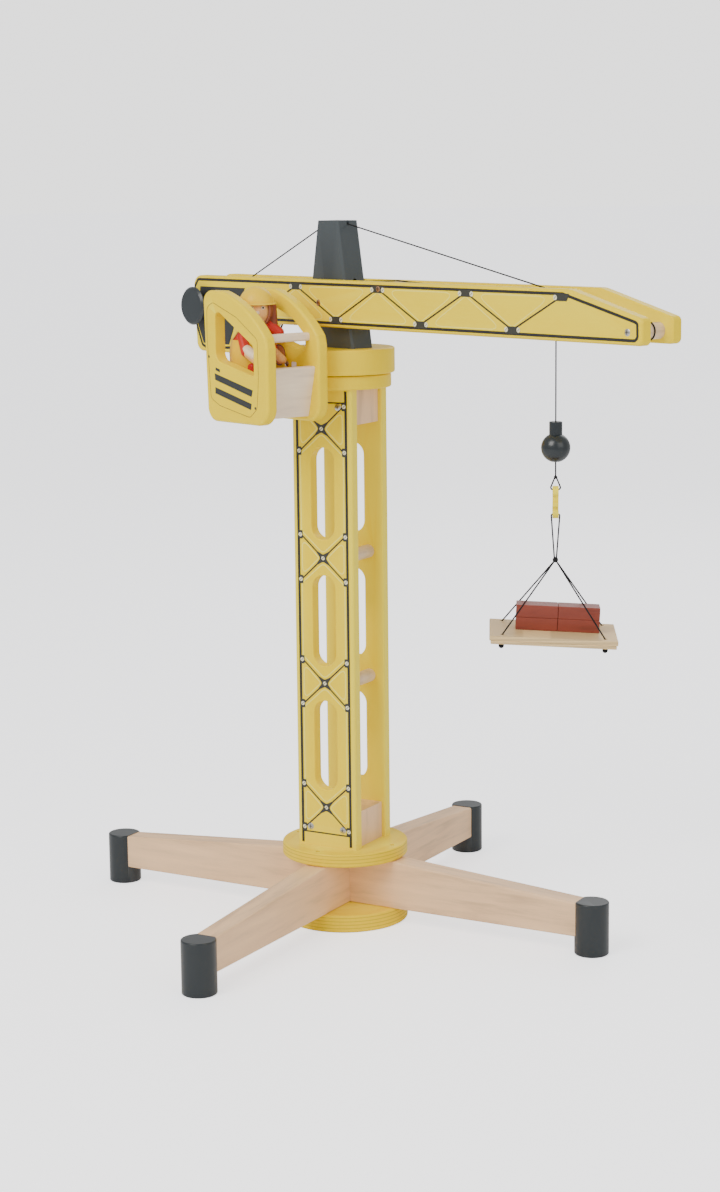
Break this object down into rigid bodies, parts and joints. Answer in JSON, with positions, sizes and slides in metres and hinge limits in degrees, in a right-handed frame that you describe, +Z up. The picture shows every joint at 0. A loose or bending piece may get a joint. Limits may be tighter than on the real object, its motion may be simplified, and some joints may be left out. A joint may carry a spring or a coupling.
{
  "type": "toy tower crane",
  "caption": "Wooden toy tower crane: cross base, slotted mast, slewing jib with cab and seated driver, hand winch with hook, and a pallet of bricks.",
  "frame": {"origin": "on the ground at the middle of the base, on the slewing axis", "axes": "+X along the jib towards its tip at rest, +Z up, -Y the side of the cab"},
  "size_m": [0.5776, 0.4492, 0.577],
  "materials": {
    "painted_yellow": "yellow painted plywood, satin, with printed lattice lines",
    "natural_wood": "clear-coated light hardwood",
    "plywood_natural": "clear-coated plywood with visible plies",
    "painted_grey": "dark slate-grey painted wood, semi-gloss",
    "brick_red": "red stained wood, satin",
    "doll_red": "red painted wood",
    "doll_yellow": "yellow painted wood",
    "doll_skin": "light wood",
    "cord": "black braided cord",
    "steel": "zinc-plated",
    "copper_steel": "copper-toned"
  },
  "bodies": {
    "base": {"foot_cap_1": "painted_grey", "foot_cap_2": "painted_grey", "foot_cap_3": "painted_grey", "foot_cap_4": "painted_grey", "foot_dowels": "natural_wood", "leg_beam_a": "natural_wood", "leg_beam_b": "natural_wood", "base_disc_upper": "painted_yellow", "base_disc_lower": "painted_yellow", "base_disc_screws": "steel", "mast_panel_near": "painted_yellow", "mast_panel_far": "painted_yellow", "mast_block_bottom": "natural_wood", "mast_block_top": "natural_wood", "mast_dowels": "natural_wood", "mast_screws": "steel", "mast_top_disc": "painted_yellow", "slew_pivot": "steel", "slew_washer": "steel"},
    "superstructure": {"turntable": "painted_yellow", "head_block": "painted_grey", "jib_panel_near": "painted_yellow", "jib_panel_far": "painted_yellow", "jib_tip_dowel": "natural_wood", "jib_guide_dowel": "natural_wood", "hoist_sheave_dowel": "natural_wood", "jib_tail_dowel": "natural_wood", "jib_tip_screws": "steel", "jib_screws": "copper_steel", "cab_panel_near": "painted_yellow", "cab_panel_far": "painted_yellow", "cab_front_board": "natural_wood", "cab_floor": "natural_wood", "cab_rail": "natural_wood", "cab_seat": "natural_wood", "cab_screw": "steel", "stay_line": "cord", "hoist_line_run": "cord"},
    "winch": {"winch_knob": "painted_grey", "winch_axle": "natural_wood", "winch_end_cap": "painted_grey", "hoist_line_turns": "cord"},
    "rope": {"hoist_line_drop": "cord"},
    "hook_block": {"ball_weight": "painted_grey"},
    "load": {"hook_cord": "cord", "crane_hook": "painted_yellow", "sling": "cord", "pallet_board": "plywood_natural", "pallet_runners": "plywood_natural"},
    "bricks": {"brick_1": "brick_red", "brick_2": "brick_red", "brick_3": "brick_red", "brick_4": "brick_red"},
    "driver": {"driver_legs": "doll_red", "driver_torso": "doll_yellow", "driver_sleeves": "doll_red", "driver_hands": "doll_skin", "driver_scarf": "doll_red", "driver_head": "doll_skin", "driver_helmet": "doll_yellow"}
  },
  "joints": [
    {"name": "slew", "type": "hinge", "parent": "base", "child": "superstructure", "pos_m": [0, 0, 0.455], "axis": [0, 0, 1], "continuous": true},
    {"name": "winch_turn", "type": "hinge", "parent": "superstructure", "child": "winch", "pos_m": [-0.158, 0, 0.505], "axis": [0, 1, 0], "range_deg": [-2200, 380]},
    {"name": "load_swing", "type": "hinge", "parent": "superstructure", "child": "rope", "pos_m": [0.24827, 0, 0.5167], "axis": [0, 1, 0], "range_deg": [-5, 5]},
    {"name": "hoist", "type": "slide", "parent": "rope", "child": "hook_block", "axis": [0, 0, 1], "range_m": [-0.252, 0.0435], "deforming": ["hoist_line_drop"]},
    {"name": "load_swivel", "type": "hinge", "parent": "hook_block", "child": "load", "pos_m": [0.24827, 0, 0.403], "axis": [0, 0, 1], "continuous": true},
    {"name": "bricks_slide", "type": "slide", "parent": "load", "child": "bricks", "axis": [0.6837, 0.7281, -0.0489], "range_m": [0, 0.06]},
    {"name": "driver_lift", "type": "slide", "parent": "superstructure", "child": "driver", "axis": [0, 0, 1], "range_m": [0, 0.06]}
  ],
  "couplings": [
    {"joint": "winch_turn", "follows": "hoist", "rad_per_m": 152.21}
  ]
}
